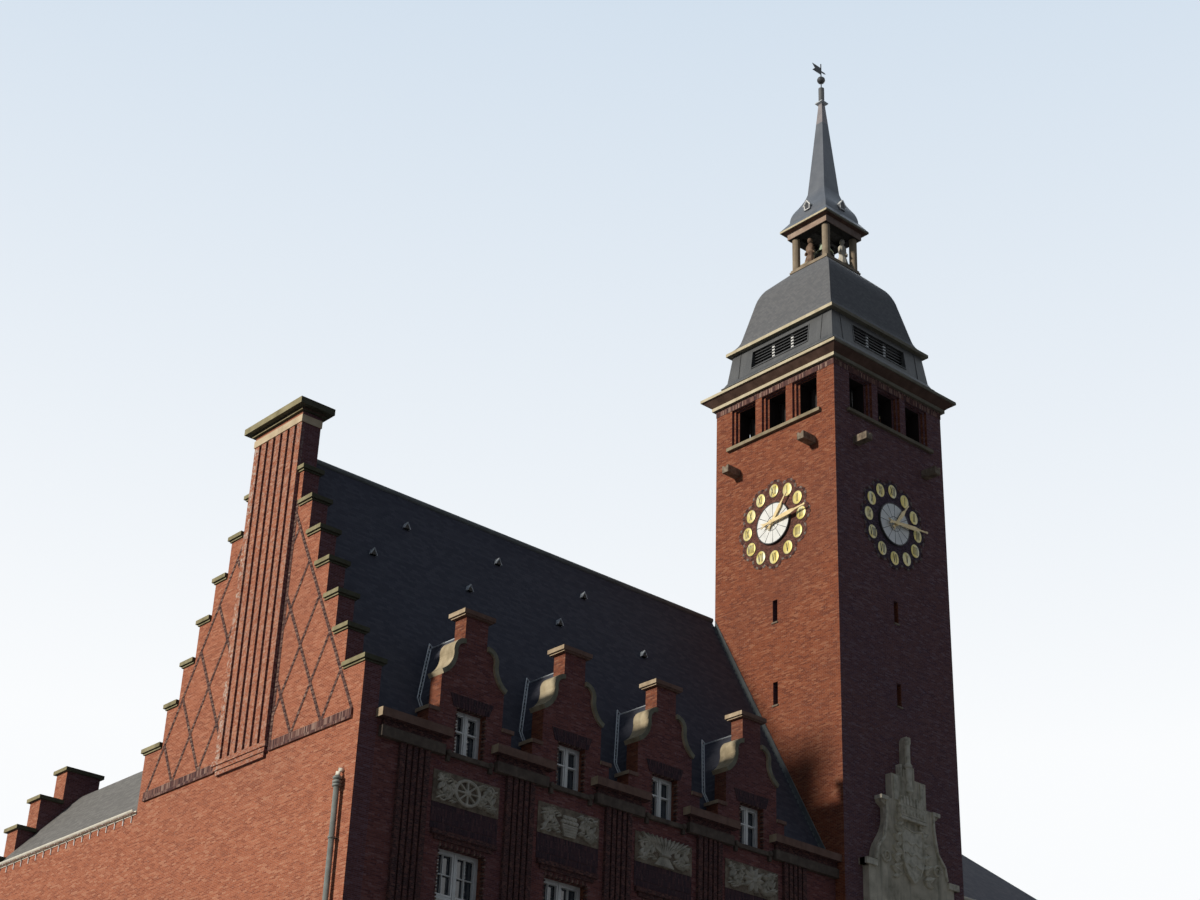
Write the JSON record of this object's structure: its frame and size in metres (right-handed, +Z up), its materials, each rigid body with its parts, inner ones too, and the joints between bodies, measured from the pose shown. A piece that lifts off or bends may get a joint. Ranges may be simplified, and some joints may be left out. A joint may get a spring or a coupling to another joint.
{
  "type": "town hall building, 1:2 scale model",
  "caption": "Brick town hall with a clock tower under a bell-shaped roof, open lantern and spire, a steep hall with a stepped gable and scrolled dormers, and two lower wings.",
  "frame": {"origin": "middle of the tower's plan, at ground level", "axes": "+X east along the street front, +Y from the street to the back, +Z up"},
  "size_m": [18.4223, 12.199, 29.985],
  "materials": {
    "brick": "matt fired brick in lime mortar",
    "sandstone": "dressed and weathered",
    "slate": "split, matt",
    "lead": "weathered sheet lead, matt",
    "white_wood": "painted white",
    "oak": "oiled",
    "window_pane": "clear",
    "dial": "painted white",
    "gilt": "gilded",
    "bronze": "green patina",
    "zinc": "weathered zinc",
    "floor_timber": "boarded",
    "figure_stone": "weathered"
  },
  "bodies": {
    "building": {"tower_walls": "brick", "belfry_stage": "brick", "tower_floors": "floor_timber", "belfry_sills": "sandstone", "rain_spouts": "sandstone", "tower_cornice": "sandstone", "louvre_stage": "lead", "louvre_slats": "white_wood", "bell_roof": "slate", "lantern_columns": "sandstone", "lantern_cornice": "sandstone", "lantern_bell": "bronze", "lantern_figures": "figure_stone", "spire": "lead", "spire_lucarnes": "white_wood", "spire_finial": "lead", "clock_dials": "dial", "clock_medallions": "gilt", "far_clock_hands": "gilt", "stone_crest": "sandstone", "portal_frame": "sandstone", "entrance_doors": "oak", "front_wall": "brick", "window_heads": "brick", "window_sills": "sandstone", "reeded_strips": "brick", "eaves_cornices": "sandstone", "relief_panels": "sandstone", "dormer_gables": "brick", "dormer_copings": "sandstone", "dormer_caps": "sandstone", "main_roof": "slate", "dormer_roofs": "slate", "ridge_roll": "lead", "roof_vents": "lead", "roof_flashing": "lead", "gable_wall": "brick", "gable_pilaster": "brick", "gable_course": "brick", "gable_step_caps": "sandstone", "gable_crown": "sandstone", "flue_pipe": "zinc", "back_wall": "brick", "cross_wall": "brick", "rear_wing_walls": "brick", "rear_wing_roof": "slate", "east_wing_walls": "brick", "east_wing_roof": "slate", "roof_skylight": "zinc", "storey_floors": "floor_timber", "wing_gutters": "zinc", "window_frames": "white_wood", "window_glass": "window_pane"},
    "minute_hand_west": {"minute_hand_west": "gilt"},
    "hour_hand_west": {"hour_hand_west": "gilt"},
    "minute_hand_south": {"minute_hand_south": "gilt"},
    "hour_hand_south": {"hour_hand_south": "gilt"},
    "weather_vane": {"weather_vane": "zinc"}
  },
  "joints": [
    {"name": "minute_hand_west_turn", "type": "hinge", "parent": "building", "child": "minute_hand_west", "pos_m": [-1.7006, 0, 17.96], "axis": [1, 0, 0], "continuous": true},
    {"name": "hour_hand_west_turn", "type": "hinge", "parent": "building", "child": "hour_hand_west", "pos_m": [-1.6703, 0, 17.96], "axis": [1, 0, 0], "continuous": true},
    {"name": "minute_hand_south_turn", "type": "hinge", "parent": "building", "child": "minute_hand_south", "pos_m": [0, -1.7006, 17.96], "axis": [0, 1, 0], "continuous": true},
    {"name": "hour_hand_south_turn", "type": "hinge", "parent": "building", "child": "hour_hand_south", "pos_m": [0, -1.6703, 17.96], "axis": [0, 1, 0], "continuous": true},
    {"name": "weather_vane_turn", "type": "hinge", "parent": "building", "child": "weather_vane", "pos_m": [0, 0, 29.66], "axis": [0, 0, 1], "continuous": true}
  ],
  "couplings": [
    {"joint": "hour_hand_west_turn", "follows": "minute_hand_west_turn", "ratio": 0.083333},
    {"joint": "minute_hand_south_turn", "follows": "minute_hand_west_turn", "ratio": 1},
    {"joint": "hour_hand_south_turn", "follows": "minute_hand_west_turn", "ratio": 0.083333}
  ]
}
